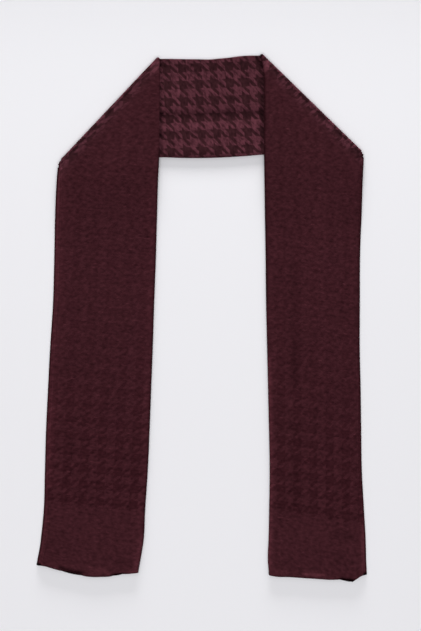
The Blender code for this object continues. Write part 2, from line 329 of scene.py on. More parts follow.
# The houndstooth's lattice on each stretch: a place in mm where a repeat starts, the two ways it
# runs in degrees from X, its repeat along and across the cloth, and where its field starts and
# which way it goes on, in repeats along. The ends have a plain woven border up to there.
Lattice = namedtuple("Lattice", "x y along across repeat_along repeat_across start way")
NECK_LATTICE = Lattice(4.5, 358.3, 2.5, 93.4, 27.2, 29.2, -40, 1)
LEFT_LATTICE = Lattice(-134.0, -165.5, 87.2, 174.6, 27.8, 29.87, -6.19, 1)
RIGHT_LATTICE = Lattice(160.2, -40.3, -90.0, -9.2, 28.3, 28.7, 10.72, -1)

BURGUNDY = (0.0452, 0.0119, 0.0160)
BURGUNDY_TEETH = (0.0316, 0.0078, 0.0107)
# Painted sheen: bright teeth on a deeper ground, as where the cloth lies across the light. The deep
# colour is also the sewing thread's darker twist.
BURGUNDY_PAINTED_SHEEN = (0.0905, 0.0266, 0.0366)
BURGUNDY_DEEP = (0.0347, 0.0112, 0.0140)
THREAD = (0.0580, 0.0165, 0.0225)
FLOOR = (0.86, 0.855, 0.88)
FLOOR_REACH = 30.0


# ---------------------------------------------------------------- curves and tables


def hermite(at, xs, ys):
    """A smooth curve through a table's points; straight beyond its ends."""
    at, xs, ys = np.asarray(at, float), np.asarray(xs, float), np.asarray(ys, float)
    slopes = np.gradient(ys, xs)
    k = np.clip(np.searchsorted(xs, at) - 1, 0, len(xs) - 2)
    run = xs[k + 1] - xs[k]
    t = (at - xs[k]) / run
    inside = (
        (2 * t**3 - 3 * t**2 + 1) * ys[k]
        + (t**3 - 2 * t**2 + t) * run * slopes[k]
        + (3 * t**2 - 2 * t**3) * ys[k + 1]
        + (t**3 - t**2) * run * slopes[k + 1]
    )
    below = ys[0] + (at - xs[0]) * slopes[0]
    above = ys[-1] + (at - xs[-1]) * slopes[-1]
    return np.where(t < 0, below, np.where(t > 1, above, inside))


def column(table, name):
    return np.array([getattr(row, name) for row in table]) * MM


def shares(table):
    return np.array([row.share for row in table])


def smooth_step(x):
    x = np.clip(x, 0, 1)
    return x * x * (3 - 2 * x)


def slope_step(x):
    """From 0 to 1 on an even slope, rounded off at both ends."""
    x = np.clip(x, 0, 1)
    side = np.minimum(x, 1 - x)
    rise = np.where(side < STEP_EASE, side**2 / (2 * STEP_EASE), side - STEP_EASE / 2)
    rise = rise / (1 - STEP_EASE)
    return np.where(x < 0.5, rise, 1 - rise)


def spaced(start, stop, step):
    return np.linspace(start, stop, max(2, math.ceil(abs(stop - start) / step) + 1))


def flat(point):
    return np.array((point.x, point.y)) * MM


# ---------------------------------------------------------------- rows


def make_rows(inner, outer, pivot, ledge, drops, turn=0.0, out=(0.0, 0.0), weight=0.0):
    count = len(inner)
    full = lambda value: np.broadcast_to(np.asarray(value, float), (count,)).copy()
    way = np.broadcast_to(np.asarray(out, float), (count, 2)).copy()
    return Rows(inner, outer, full(pivot), full(turn), way, full(ledge), full(weight), drops)


def joined(parts):
    names = [name for name in Rows._fields if name != "drops"]
    columns = [np.concatenate([getattr(part, name) for part in parts]) for name in names]
    return Rows(*columns, parts[0].drops)


def front_rows_at(front, y):
    """Rows across a front at these heights of its inner edge, up to the neck stretch."""
    heights = column(front.sections, "y")
    neck_edge = front.climb[0].y * MM
    below = neck_edge - y
    tilt = (front.swing.y * MM - neck_edge) * smooth_step(1 - (below - STEP_RUN) / TILT_FADE)
    inner = np.stack([hermite(y, heights, column(front.sections, "inner")), y], axis=1)
    outer_y = y + tilt
    outer = np.stack([hermite(outer_y, heights, column(front.sections, "outer")), outer_y], axis=1)
    ledge = hermite(y, heights, column(front.sections, "ledge"))
    lift = LIFT * slope_step(1 - below / STEP_RUN)
    weight = 1 - smooth_step((y - heights[0]) / HEM_FADE)
    return make_rows(inner, outer, lift - GAP / 2, ledge, front.drops, weight=weight)


def triangle_rows(front):
    """Rows over the neck stretch, fanned out round the outer end of the diagonal fold."""
    climb = np.array([flat(point) for point in front.climb])
    steps = np.concatenate([[0], np.cumsum(np.linalg.norm(np.diff(climb, axis=0), axis=1))])
    at = spaced(0, steps[-1], FINE)[1:]
    inner = np.stack([np.interp(at, steps, climb[:, k]) for k in (0, 1)], axis=1)
    share = (at / steps[-1])[:, None]
    outer = flat(front.swing) * (1 - share) + flat(front.corner) * share
    ledge = front.sections[-1].ledge * MM
    return make_rows(inner, outer, LIFT - GAP / 2, ledge, front.drops)


def fold_way(front):
    along = flat(front.corner) - flat(front.climb[-1])
    way = np.array((along[1], -along[0])) / np.linalg.norm(along)
    return way * math.copysign(1, way[0] * front.corner.x)


def fold_rows(front):
    """Rows round the diagonal fold, from the front's side of it to the seam underneath."""
    turn = np.concatenate([np.arange(1, FOLD_STEPS + 1) * math.pi / FOLD_STEPS, [math.pi]])
    in_by = np.concatenate([np.zeros(FOLD_STEPS), [SEAM_IN]])
    way = fold_way(front)
    inner = flat(front.climb[-1]) - in_by[:, None] * way
    outer = flat(front.corner) - in_by[:, None] * way
    ledge = front.sections[-1].ledge * MM
    return make_rows(inner, outer, LIFT - GAP / 2, ledge, front.drops, turn=turn, out=way)


def front_lay(front):
    """Rows from just inside a front's end hem up to the neck stretch."""
    end = front.sections[0].y * MM
    fine_end = spaced(end + HEM_WIDTH * 0.7, end + HEM_FADE, END_FINE)
    rest = spaced(end + HEM_FADE, front.climb[0].y * MM, FINE)[1:]
    return front_rows_at(front, np.concatenate([fine_end, rest]))


def front_rows(front):
    return joined([front_lay(front), triangle_rows(front), fold_rows(front)])


def neck_rows():
    """Rows across the neck stretch, which lies the other way up, between the diagonal folds."""
    share = np.linspace(0, 1, NECK_ROWS)
    ends = []
    for edge in (NECK_TOP, NECK_BOTTOM):
        xs, ys = column(edge, "x"), column(edge, "y")
        x = xs[0] + share * (xs[-1] - xs[0])
        ends.append(np.stack([x, hermite(x, xs, ys)], axis=1))
    inner, outer = ends
    for row, front in ((0, LEFT), (-1, RIGHT)):
        shift = (SEAM_IN + GAP) * fold_way(front)
        inner[row] -= shift
        outer[row] -= shift
    return make_rows(inner, outer, STACK + GAP / 2, NECK_LEDGE, None, turn=math.pi)


# ---------------------------------------------------------------- placing points


def soft_marks(x, y, marks):
    total = np.zeros_like(x)
    for mark in marks:
        angle = math.radians(mark.angle)
        dx, dy = x - mark.x * MM, y - mark.y * MM
        along = (dx * math.cos(angle) + dy * math.sin(angle)) / (mark.reach * MM)
        aside = (-dx * math.sin(angle) + dy * math.cos(angle)) / (mark.width * MM)
        ends = smooth_step(2.0 * (1.0 - np.abs(along)))
        total += mark.height * ends * np.exp(-0.5 * aside**2)
    return total


def placed(rows, across, height, creases=()):
    """Points (rows x section) of the laid strip at these distances across it and heights."""
    share = (across / STRIP)[..., None]
    radius = height + GAP / 2
    turn = rows.turn[:, None]
    place = rows.inner[:, None] * (1 - share) + rows.outer[:, None] * share
    place = place + rows.out[:, None] * (radius * np.sin(turn))[..., None]
    if rows.drops:
        over = smooth_step((height - OVER_FROM) / OVER_RUN)
        top = hermite(share[..., 0], shares(rows.drops), column(rows.drops, "top"))
        lower = hermite(share[..., 0], shares(rows.drops), column(rows.drops, "lower"))
        place[..., 1] -= rows.weight[:, None] * (lower + (top - lower) * over)
    z = rows.pivot[:, None] + radius * np.cos(turn)
    share_up = height / STACK
    up = np.where(turn > UPSIDE_DOWN, 1 - share_up, share_up * np.clip(np.cos(turn), 0, 1))
    z = z + soft_marks(place[..., 0], place[..., 1], creases) * MM * np.clip(up, 0, 1)
    return np.concatenate([place, z[..., None]], axis=-1)


def unrolled(rows, across, side, turned, is_neck):
    """Where each point would lie with the doubled fold opened out and the visible side in place."""
    unit = (rows.outer - rows.inner) / STRIP
    shows = -1.0 if is_neck else 1.0
    mirrored = unit * (np.array((1, -1)) if is_neck else np.array((-1, 1)))
    step = np.where(side[..., None] * shows > 0, unit[:, None], mirrored[:, None])
    across_it = rows.inner[:, None] + step * np.abs(across)[..., None]
    return across_it + rows.out[:, None] * turned[..., None]


def in_repeats(place, lattice):
    """Cloth coordinates in repeats of the houndstooth."""
    a, b = math.radians(lattice.along), math.radians(lattice.across)
    along, across = (math.cos(a), math.sin(a)), (math.cos(b), math.sin(b))
    det = along[0] * across[1] - across[0] * along[1]
    x, y = place[..., 0] - lattice.x * MM, place[..., 1] - lattice.y * MM
    u = (x * across[1] - y * across[0]) / det
    v = (-x * along[1] + y * along[0]) / det
    return np.stack([u / (lattice.repeat_along * MM), v / (lattice.repeat_across * MM)], axis=-1)


# ---------------------------------------------------------------- sections


def arc(across, height, radius, start, stop, steps):
    angles = np.radians(np.linspace(start, stop, steps + 1))
    return across + radius * np.cos(angles), height + radius * np.sin(angles)


def edge_fine(width):
    """Shares of a width from 0 to just under 1, closely spaced near both edges."""
    near = EDGE_ZONE / width
    edge = spaced(0, near, EDGE_FINE / width)
    return np.concatenate([edge, spaced(near, 1 - near, FINE / width)[1:-1], 1 - edge[:0:-1]])


def ply_line(rows, inside, top, low, left, top_short, low_short, fold=0.0):
    """One face of a layer of cloth folded in two: upper side, doubled fold, lower side, and the
    small fold at the open edge where there is one. Returns across, height and side, row by row."""
    roll = (top - low) / 2
    middle = (top + low) / 2
    count = len(rows.inner)
    open_edge = STRIP - top_short - (rows.ledge if fold else 0)
    t = edge_fine(STRIP - roll)
    upper = np.asarray(open_edge + np.zeros(count))[:, None] * (1 - t) + (left + roll) * t
    arc_across, arc_height = arc(left + roll, middle, roll - inside, 90, 270, ROLL_STEPS)
    end = STRIP - (fold if fold else low_short)
    lower = spaced(left + roll, end, COARSE)[1:-1]
    across = [upper] + [np.broadcast_to(part, (count, len(part))) for part in (arc_across, lower)]
    height = [np.full(len(t), top - inside), arc_height, np.full(len(lower), low + inside)]
    side = [np.ones(len(t)), np.where(arc_height > middle, 1.0, -1.0), -np.ones(len(lower))]
    if fold:
        fold_across, fold_height = arc(
            STRIP - fold, low + fold, fold - inside, -90, 90, OPEN_FOLD_STEPS
        )
        last = (np.array([STRIP - TUCK]), np.array([low + 2 * fold - inside]))
        for part_across, part_height in ((fold_across, fold_height), last):
            across.append(np.broadcast_to(part_across, (count, len(part_across))))
            height.append(part_height)
            side.append(-np.ones(len(part_across)))
    else:
        across.append(np.full((count, 1), end))
        height.append(np.array([low + inside]))
        side.append(-np.ones(1))
    across = np.concatenate(across, axis=1)
    height = np.broadcast_to(np.concatenate(height), across.shape).copy()
    side = np.broadcast_to(np.concatenate(side), across.shape).copy()
    return across, height, side


def thick_loop(faces):
    """The outside and the inside of a layer joined into one closed section."""
    outside, inside = faces
    return [np.concatenate([o, i[:, ::-1]], axis=1) for o, i in zip(outside, inside)]


def outer_line(rows, inside):
    return ply_line(rows, inside, STACK, 0.0, 0.0, HEM_INSET, 0.0, fold=OPEN_FOLD)


def hidden_line(rows, inside):
    short = TUCK + TUCK_ROOM
    return ply_line(rows, inside, HIDDEN_TOP, HIDDEN_LOW, HIDDEN_ROLL_INSET, HIDDEN_LEDGE, short)


def outer_layer(rows):
    return thick_loop([outer_line(rows, inside) for inside in (0.0, CLOTH)])


def hidden_layers(rows):
    return thick_loop([hidden_line(rows, inside) for inside in (0.0, CLOTH)])


def rounded_bar(low, high, left, right):
    """A flat bar with round edges, as a section; its outline runs from the right over the top."""
    angles = np.linspace(0, 2 * math.pi, HEM_POINTS, endpoint=False)
    cosine, sine = np.cos(angles), np.sin(angles)
    across = np.sign(cosine) * np.abs(cosine) ** HEM_SQUARENESS
    height = np.sign(sine) * np.abs(sine) ** HEM_SQUARENESS
    across = (left + right) / 2 + across * (right - left) / 2
    height = (low + high) / 2 + height * (high - low) / 2
    return across, height


# ---------------------------------------------------------------- meshes


# The tone column holds painted light and shade, the last one painted sheen.
ON_CLOTH = ("u", "v", "field", "tone", "painted_sheen")  # what each point knows of the cloth


def new_object(name, points, faces, cloth, material):
    """A smooth mesh; cloth has a column for each of ON_CLOTH."""
    mesh = bpy.data.meshes.new(name)
    mesh.from_pydata(points.tolist(), [], faces)
    layer = mesh.uv_layers.new(name="cloth")
    corners = np.empty(len(mesh.loops), int)
    mesh.loops.foreach_get("vertex_index", corners)
    layer.data.foreach_set("uv", cloth[corners][:, :2].ravel())
    for k, word in enumerate(ON_CLOTH[2:], start=2):
        values = mesh.attributes.new(word, "FLOAT", "POINT")
        values.data.foreach_set("value", np.ascontiguousarray(cloth[:, k]))
    mesh.materials.append(material)
    mesh.shade_smooth()
    mesh.set_sharp_from_angle(angle=SHARP_ANGLE)
    made = bpy.data.objects.new(name, mesh)
    bpy.context.scene.collection.objects.link(made)
    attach(made, "root")
    return made


def loft_faces(rows, count, closed=True):
    faces = []
    for i in range(rows - 1):
        for k in range(count if closed else count - 1):
            n = (k + 1) % count
            faces.append((i * count + k, i * count + n, (i + 1) * count + n, (i + 1) * count + k))
    return faces


def wall_caps(rows, count):
    faces = []
    for start, flip in ((0, False), ((rows - 1) * count, True)):
        for k in range(count // 2 - 1):
            quad = (start + k, start + count - 1 - k, start + count - 2 - k, start + k + 1)
            faces.append(quad[::-1] if flip else quad)
    return faces


def lofted(name, points, cloth, material, caps):
    """A closed shell through sections; points is rows x section x 3."""
    rows, count = points.shape[:2]
    faces = loft_faces(rows, count)
    if caps == "wall":
        faces += wall_caps(rows, count)
    else:
        faces += [tuple(range(count - 1, -1, -1)), tuple(range((rows - 1) * count, rows * count))]
    if signed_volume(points, faces) < 0:
        faces = [face[::-1] for face in faces]
    cloth = cloth.reshape(-1, len(ON_CLOTH))
    return new_object(name, points.reshape(-1, 3), faces, cloth, material)


def signed_volume(points, faces):
    flat_points = points.reshape(-1, 3)
    quads = np.array([face for face in faces if len(face) == 4])
    a, b, c, d = (flat_points[quads[:, k]] for k in range(4))
    return float(np.sum(np.cross(a, b) * c) + np.sum(np.cross(a, c) * d))


def fold_distance(front, place):
    """How far each place lies in from a front's diagonal fold."""
    return -np.sum((place[..., :2] - flat(front.corner)) * fold_way(front), axis=-1)


def painted_edge_lines(front, edges, place, across):
    """The painted highlights and painted shade of all the edge lines at these places on a front."""
    total = np.zeros_like(across)
    y = place[..., 1]
    from_edge = {"inner": across, "outer": STRIP - across, "fold": fold_distance(front, place)}
    for line in edges:
        aside = (from_edge[line.edge] - line.inset * MM) / (line.width * MM)
        if line.edge == "fold":
            along = np.where(y > front.corner.y * MM - EDGE_LINE_FADE, 1.0, 0.0)
        else:
            begins = smooth_step((y - line.low * MM) / EDGE_LINE_FADE)
            along = begins * smooth_step((line.high * MM - y) / EDGE_LINE_FADE)
        total += line.gain * along * np.exp(-0.5 * aside**2)
    return total


def on_cloth(rows, across, height, side, place, weave):
    """The columns of ON_CLOTH for these points."""
    turned = rows.turn[:, None] * (height + GAP / 2) * (np.abs(rows.out).sum(axis=1)[:, None] > 0)
    lattice = weave.lattice
    repeats = in_repeats(unrolled(rows, across, side, turned, weave.front is None), lattice)
    field = (repeats[..., 0] - lattice.start) * lattice.way * lattice.repeat_along * MM
    # Painted light and shade: the listed marks, then on a front its edge lines and the end's shade.
    tone = soft_marks(place[..., 0], place[..., 1], weave.shades)
    # On the neck the sheen is painted all over.
    painted_sheen = np.ones_like(across)
    if weave.front is not None:
        # Painted highlights and painted shade along the front's edges.
        tone = tone + painted_edge_lines(weave.front, weave.edges, place, across)
        # Painted shade on the lower layers near the end, where the end hem shades them.
        near_end = rows.weight[:, None] * (height < END_DARK_BELOW)
        end = weave.front.sections[0].y * MM
        from_end = end + END_DARK_RUN - rows.inner[:, None, 1]
        near_end = near_end * smooth_step(from_end / END_DARK_FADE)
        tone = tone * (1 - near_end) + END_PAINTED_SHADE * near_end
        # Painted sheen, fading in from the diagonal fold, and full on the cloth round it.
        inward = np.maximum(fold_distance(weave.front, place), 0)
        painted_sheen = np.exp(-((inward / FOLD_PAINTED_SHEEN) ** 2)) * (inward < NO_PAINTED_SHEEN)
        painted_sheen = np.where(rows.turn[:, None] > 0, 1.0, painted_sheen)
    tone = np.maximum(tone, DARKEST)
    return np.stack([repeats[..., 0], repeats[..., 1], field, tone, painted_sheen], axis=-1)


def cloth_piece(name, rows, section, weave, material):
    across, height, side = section
    points = placed(rows, across, height, weave.creases)
    cloth = on_cloth(rows, across, height, side, points, weave)
    return lofted(name, points, cloth, material, "wall")


def side_hem(name, rows, weave, material):
    """The narrow hem along the top layer's open edge; round the diagonal fold it lies flush."""
    rise = HEM_RISE * (1 - rows.turn[:, None] / math.pi)
    bar_across, bar_height = rounded_bar(STACK - HEM_THICKNESS, STACK, -HEM_WIDTH, 0.0)
    across = STRIP - rows.ledge[:, None] + bar_across
    height = bar_height + rise
    points = placed(rows, across, height, weave.creases)
    cloth = on_cloth(rows, across, np.full_like(height, STACK), np.ones_like(across), points, weave)
    return lofted(name, points, cloth, material, "plain")


def end_hem(name, front, section, weave, material):
    """The narrow hem across a front's end, round the doubled fold as the layer it belongs to."""
    end = front.sections[0].y * MM
    along = np.linspace(0, 1, END_HEM_ROWS)
    rows = front_rows_at(front, end + HEM_WIDTH * along)
    round_end = np.sqrt(np.clip(1 - (2 * along - 1) ** 4, 0.02, 1))
    half = HEM_GIRTH * HEM_THICKNESS / 2 * round_end
    across, height, side = section(rows, CLOTH / 2)
    middle = placed(rows, across, height, weave.creases)
    normal = np.cross(np.gradient(middle, axis=1), (0.0, 1.0, 0.0))
    normal /= np.linalg.norm(normal, axis=-1, keepdims=True)
    if normal[0, 0, 2] < 0:
        normal = -normal
    offset = normal * half[:, None, None]
    faces = [middle + offset, middle - offset]
    for face in faces:
        face[..., 2] = np.maximum(face[..., 2], FLOOR_CLEARANCE)
    points = np.concatenate([faces[0], faces[1][:, ::-1]], axis=1)
    both = [np.concatenate([part, part[:, ::-1]], axis=1) for part in (across, height, side)]
    return lofted(name, points, on_cloth(rows, *both, points, weave), material, "wall")


def stitches(name, path, material):
    """A row of sewn stitches along a path on top of the cloth, as one mesh."""
    steps = np.concatenate([[0], np.cumsum(np.linalg.norm(np.diff(path, axis=0), axis=1))])
    starts = np.arange(STITCH_PITCH, steps[-1] - STITCH_PITCH, STITCH_PITCH)
    at = lambda where: np.stack([np.interp(where, steps, path[:, k]) for k in range(3)], axis=-1)
    begin, stop = at(starts), at(starts + STITCH_LENGTH)
    way = (stop - begin) / np.linalg.norm(stop - begin, axis=1, keepdims=True)
    aside = np.cross((0.0, 0.0, 1.0), way)
    rings = np.array([0.0, 0.12, 0.5, 0.88, 1.0])
    girth = np.array([0.35, 0.85, 1.0, 0.85, 0.35]) * STITCH_RADIUS
    sink = np.array([-0.8, 0.1, 0.5, 0.1, -0.8]) * STITCH_RADIUS
    angles = np.linspace(0, 2 * math.pi, STITCH_SIDES, endpoint=False)
    centre = begin[:, None] + (stop - begin)[:, None] * rings[:, None]
    centre[..., 2] += sink
    points = (
        centre[:, :, None]
        + aside[:, None, None] * (girth[:, None] * np.cos(angles))[..., None]
        + np.array((0.0, 0.0, 1.0)) * (girth[:, None] * np.sin(angles))[..., None]
    )
    each = len(rings) * STITCH_SIDES
    one = loft_faces(len(rings), STITCH_SIDES)
    one += [tuple(range(STITCH_SIDES - 1, -1, -1)), tuple(range(each - STITCH_SIDES, each))]
    faces = [tuple(each * k + n for n in face) for k in range(len(starts)) for face in one]
    if signed_volume(points[0], one) < 0:
        faces = [face[::-1] for face in faces]
    cloth = np.zeros((points[..., 0].size, len(ON_CLOTH)))
    return new_object(name, points.reshape(-1, 3), faces, cloth, material)


def hem_path(rows, across, height, weave):
    """A line along the layout on the top of the cloth, at this distance across each row."""
    return placed(rows, across[:, None], np.full((len(across), 1), height), weave.creases)[:, 0]


# ---------------------------------------------------------------- materials


class Nodes:
    """Shorthands for building a node tree."""

    def __init__(self, material):
        material.use_nodes = True
        self.tree = material.node_tree
        self.shader = self.tree.nodes["Principled BSDF"]

    def add(self, kind, **settings):
        node = self.tree.nodes.new(kind)
        for name, value in settings.items():
            setattr(node, name, value)
        return node

    def feed(self, socket, value):
        if isinstance(value, bpy.types.NodeSocket):
            self.tree.links.new(value, socket)
        else:
            socket.default_value = value

    def math(self, operation, a, b=0.0, c=0.0, clamp=False):
        node = self.add("ShaderNodeMath", operation=operation, use_clamp=clamp)
        for socket, value in zip(node.inputs, (a, b, c)):
            self.feed(socket, value)
        return node.outputs[0]

    def mix(self, factor, a, b):
        node = self.add("ShaderNodeMix", data_type="RGBA")
        self.feed(node.inputs["Factor"], factor)
        self.feed(node.inputs[6], a)
        self.feed(node.inputs[7], b)
        return node.outputs[2]

    def noise(self, vector, scale, detail=2.0, roughness=0.5):
        node = self.add("ShaderNodeTexNoise")
        self.feed(node.inputs["Vector"], vector)
        self.feed(node.inputs["Scale"], scale)
        self.feed(node.inputs["Detail"], detail)
        self.feed(node.inputs["Roughness"], roughness)
        return node.outputs["Fac"]

    def stretched(self, vector, scale):
        node = self.add("ShaderNodeVectorMath", operation="MULTIPLY")
        self.feed(node.inputs[0], vector)
        node.inputs[1].default_value = scale
        return node.outputs[0]

    def pulse(self, value, sharpness):
        """1 for the first half of each whole step of value and 0 for the second, edges soft."""
        shifted = self.math("FRACT", self.math("ADD", value, 0.25))
        off_middle = self.math("ABSOLUTE", self.math("SUBTRACT", shifted, 0.5))
        inside = self.math("SUBTRACT", 0.25, off_middle)
        return self.math("MULTIPLY_ADD", inside, sharpness, 0.5, clamp=True)

    def centred(self, vector, scale, detail=2.0, roughness=0.5):
        """Noise with its middle at 0."""
        return self.math("SUBTRACT", self.noise(vector, scale, detail, roughness), 0.5)


def houndstooth(nodes, u, v):
    """0 on one tone of the houndstooth and 1 on the other, from coordinates in repeats."""
    twill = nodes.pulse(nodes.math("MULTIPLY", nodes.math("ADD", u, v), 2.0), TWILL_SHARPNESS)
    along = nodes.pulse(u, BLOCK_SHARPNESS)
    across = nodes.pulse(v, BLOCK_SHARPNESS)
    difference = nodes.math("SUBTRACT", along, across)
    return nodes.math("MULTIPLY_ADD", twill, difference, across)


# The fine detail of the weave. Scales are in features to a repeat, along and across the cloth, and
# gains are shares of lightness.
WOBBLE_ALONG = (1.3, 0.14)  # scale and reach of the threads' waviness
WOBBLE_ACROSS = (2.1, 0.12)
WOBBLE_STRETCH = (1.0, 1.4, 1.0)
SLUB_SCALE, SLUB_GAIN = (5.4, 3.2, 1.0), 1.35
STREAK_SCALE, STREAK_GAIN = (6.5, 1.8), 0.5
CLOUD_SCALE, CLOUD_GAIN = 0.45, 0.35
FLECK_SCALE, FLECK_GAIN = (9.0, 2.0, 1.0), 0.55
FLECK_FROM, FLECK_SHARPNESS = 0.66, 9.0
TWILL_SHARPNESS, BLOCK_SHARPNESS = 14.0, 26.0
BORDER_SOFT = 2.5 * MM  # over which the teeth begin at the border
FIELD_SOFT = 20 * MM  # over which the streaks begin there
FADE_FROM, FADE_RUN, FADE_LEAST = 1.15, 0.42, 0.34  # the dull teeth's strength up the field
DULL_TOOTH_CLOUD = 0.9
DULL_TOOTH_STREAK = (1.6, 0.92)  # gain and middle
BRIGHT_TOOTH_STREAK = (2.2, 0.85)
BRIGHT_TOOTH_POLISH = -0.07  # change of roughness
LEAST_LIGHTNESS = 0.04
SHEEN_WEIGHT, SHEEN_ROUGHNESS, SHEEN_TINT = 0.05, 0.45, (0.60, 0.16, 0.22, 1)
SLUB_RELIEF, THREAD_RELIEF, STREAK_RELIEF, TOOTH_RELIEF = 0.9, 0.25, 0.6, 0.35
BUMP_STRENGTH, BUMP_DEPTH = 0.45, 0.12 * MM
BAND_SCALE, BAND_WAVER = 14.0, 0.6
TWIST_SCALE = 900.0  # of the sewing thread


def jacquard(name, roughness):
    """Woven houndstooth. Seen along the weave its teeth are dark on a dull ground; where the cloth
    lies across the light its sheen is painted into the colour, as bright teeth on a deep ground. A
    per-point share of painted sheen says how far it is the second."""
    material = bpy.data.materials.new(name)
    nodes = Nodes(material)
    cloth = nodes.add("ShaderNodeUVMap", uv_map="cloth").outputs[0]
    attribute = lambda word: nodes.add("ShaderNodeAttribute", attribute_name=word).outputs["Fac"]
    # Per point: how far into the houndstooth field, painted light and shade, and painted sheen.
    field, mark, painted_sheen = attribute("field"), attribute("tone"), attribute("painted_sheen")
    split = nodes.add("ShaderNodeSeparateXYZ")
    nodes.feed(split.inputs[0], cloth)
    along, across = split.outputs[0], split.outputs[1]

    scale, reach = WOBBLE_ALONG
    wobble = nodes.math("MULTIPLY_ADD", nodes.noise(cloth, scale, 2.0), reach, -reach / 2)
    scale, reach = WOBBLE_ACROSS
    wavy = nodes.noise(nodes.stretched(cloth, WOBBLE_STRETCH), scale, 1.0)
    wobble_too = nodes.math("MULTIPLY_ADD", wavy, reach, -reach / 2)
    u, v = nodes.math("ADD", along, wobble), nodes.math("ADD", across, wobble_too)
    past_border = nodes.math("MULTIPLY", field, 1 / BORDER_SOFT, clamp=True)
    tooth = nodes.math("MULTIPLY", houndstooth(nodes, u, v), past_border)

    slant = nodes.add("ShaderNodeCombineXYZ")
    for k, way in enumerate(("ADD", "SUBTRACT")):
        diagonal = nodes.math("MULTIPLY", nodes.math(way, along, across), STREAK_SCALE[k])
        nodes.feed(slant.inputs[k], diagonal)
    streak = nodes.centred(slant.outputs[0], 1.0)
    slub = nodes.centred(nodes.stretched(cloth, SLUB_SCALE), 1.0, 1.5, 0.6)
    cloudy = nodes.centred(cloth, CLOUD_SCALE)
    fleck = nodes.noise(nodes.stretched(cloth, FLECK_SCALE), 1.0, 1.0)
    fleck = nodes.math("SUBTRACT", fleck, FLECK_FROM)
    fleck = nodes.math("MULTIPLY", fleck, FLECK_SHARPNESS, clamp=True)

    fade = nodes.math("MULTIPLY_ADD", field, -1 / FADE_RUN, FADE_FROM)
    fade = nodes.math("MAXIMUM", nodes.math("MINIMUM", fade, 1.0), FADE_LEAST)
    patchy = nodes.math("MULTIPLY_ADD", cloudy, DULL_TOOTH_CLOUD, fade)
    dull_streak = nodes.math("MULTIPLY_ADD", streak, *DULL_TOOTH_STREAK)
    bright_streak = nodes.math("MULTIPLY_ADD", streak, *BRIGHT_TOOTH_STREAK)
    dull_tooth = nodes.math("MULTIPLY", tooth, patchy, clamp=True)
    dull_tooth = nodes.math("MULTIPLY", dull_tooth, dull_streak, clamp=True)
    bright_tooth = nodes.math("MULTIPLY", tooth, bright_streak, clamp=True)
    # The dull palette is the cloth seen along the weave; the bright one paints its sheen, mixed in
    # by the painted sheen share.
    dull = nodes.mix(dull_tooth, (*BURGUNDY, 1), (*BURGUNDY_TEETH, 1))
    bright = nodes.mix(bright_tooth, (*BURGUNDY_DEEP, 1), (*BURGUNDY_PAINTED_SHEEN, 1))
    colour = nodes.mix(painted_sheen, dull, bright)

    in_field = nodes.math("MULTIPLY", field, 1 / FIELD_SOFT, clamp=True)
    lightness = nodes.math("MULTIPLY_ADD", slub, SLUB_GAIN, 1.0)
    streak_in_field = nodes.math("MULTIPLY", streak, in_field)
    for part, gain in ((streak_in_field, STREAK_GAIN), (cloudy, CLOUD_GAIN), (fleck, FLECK_GAIN)):
        lightness = nodes.math("MULTIPLY_ADD", part, gain, lightness)
    # Painted light and shade from the tone attribute scales the lightness.
    lightness = nodes.math("MULTIPLY", lightness, nodes.math("ADD", mark, 1.0))
    shaded = nodes.add("ShaderNodeHueSaturation")
    nodes.feed(shaded.inputs["Color"], colour)
    nodes.feed(shaded.inputs["Value"], nodes.math("MAXIMUM", lightness, LEAST_LIGHTNESS))
    nodes.feed(nodes.shader.inputs["Base Color"], shaded.outputs[0])
    dullness = nodes.math("MULTIPLY_ADD", bright_tooth, BRIGHT_TOOTH_POLISH, roughness)
    nodes.feed(nodes.shader.inputs["Roughness"], dullness)
    nodes.shader.inputs["Specular IOR Level"].default_value = 0.0
    nodes.shader.inputs["Sheen Weight"].default_value = SHEEN_WEIGHT
    nodes.shader.inputs["Sheen Roughness"].default_value = SHEEN_ROUGHNESS
    nodes.shader.inputs["Sheen Tint"].default_value = SHEEN_TINT

    threads = nodes.math("ADD", thread_bands(nodes, cloth, "X"), thread_bands(nodes, cloth, "Y"))
    height = nodes.math("MULTIPLY", threads, THREAD_RELIEF)
    for part, gain in ((slub, SLUB_RELIEF), (streak, STREAK_RELIEF), (tooth, TOOTH_RELIEF)):
        height = nodes.math("MULTIPLY_ADD", part, gain, height)
    bump = nodes.add("ShaderNodeBump")
    bump.inputs["Strength"].default_value = BUMP_STRENGTH
    bump.inputs["Distance"].default_value = BUMP_DEPTH
    nodes.feed(bump.inputs["Height"], height)
    nodes.feed(nodes.shader.inputs["Normal"], bump.outputs[0])
    return material


def thread_bands(nodes, cloth, direction):
    """The cloth's threads one way, as fine bands."""
    bands = nodes.add("ShaderNodeTexWave", wave_type="BANDS", bands_direction=direction)
    nodes.feed(bands.inputs["Vector"], cloth)
    bands.inputs["Scale"].default_value = BAND_SCALE
    bands.inputs["Distortion"].default_value = BAND_WAVER
    return bands.outputs["Fac"]


def sewing_thread():
    material = bpy.data.materials.new("sewing_thread")
    nodes = Nodes(material)
    place = nodes.add("ShaderNodeTexCoord").outputs["Object"]
    twist = nodes.noise(place, TWIST_SCALE, 1.0)
    colour = nodes.mix(twist, (*BURGUNDY_DEEP, 1), (*THREAD, 1))
    nodes.feed(nodes.shader.inputs["Base Color"], colour)
    nodes.shader.inputs["Roughness"].default_value = 0.55
    nodes.shader.inputs["Specular IOR Level"].default_value = 0.0
    return material


def floor_material():
    material = bpy.data.materials.new("pale_floor")
    nodes = Nodes(material)
    nodes.shader.inputs["Base Color"].default_value = (*FLOOR, 1)
    nodes.shader.inputs["Roughness"].default_value = 0.9
    nodes.shader.inputs["Specular IOR Level"].default_value = 0.1
    return material


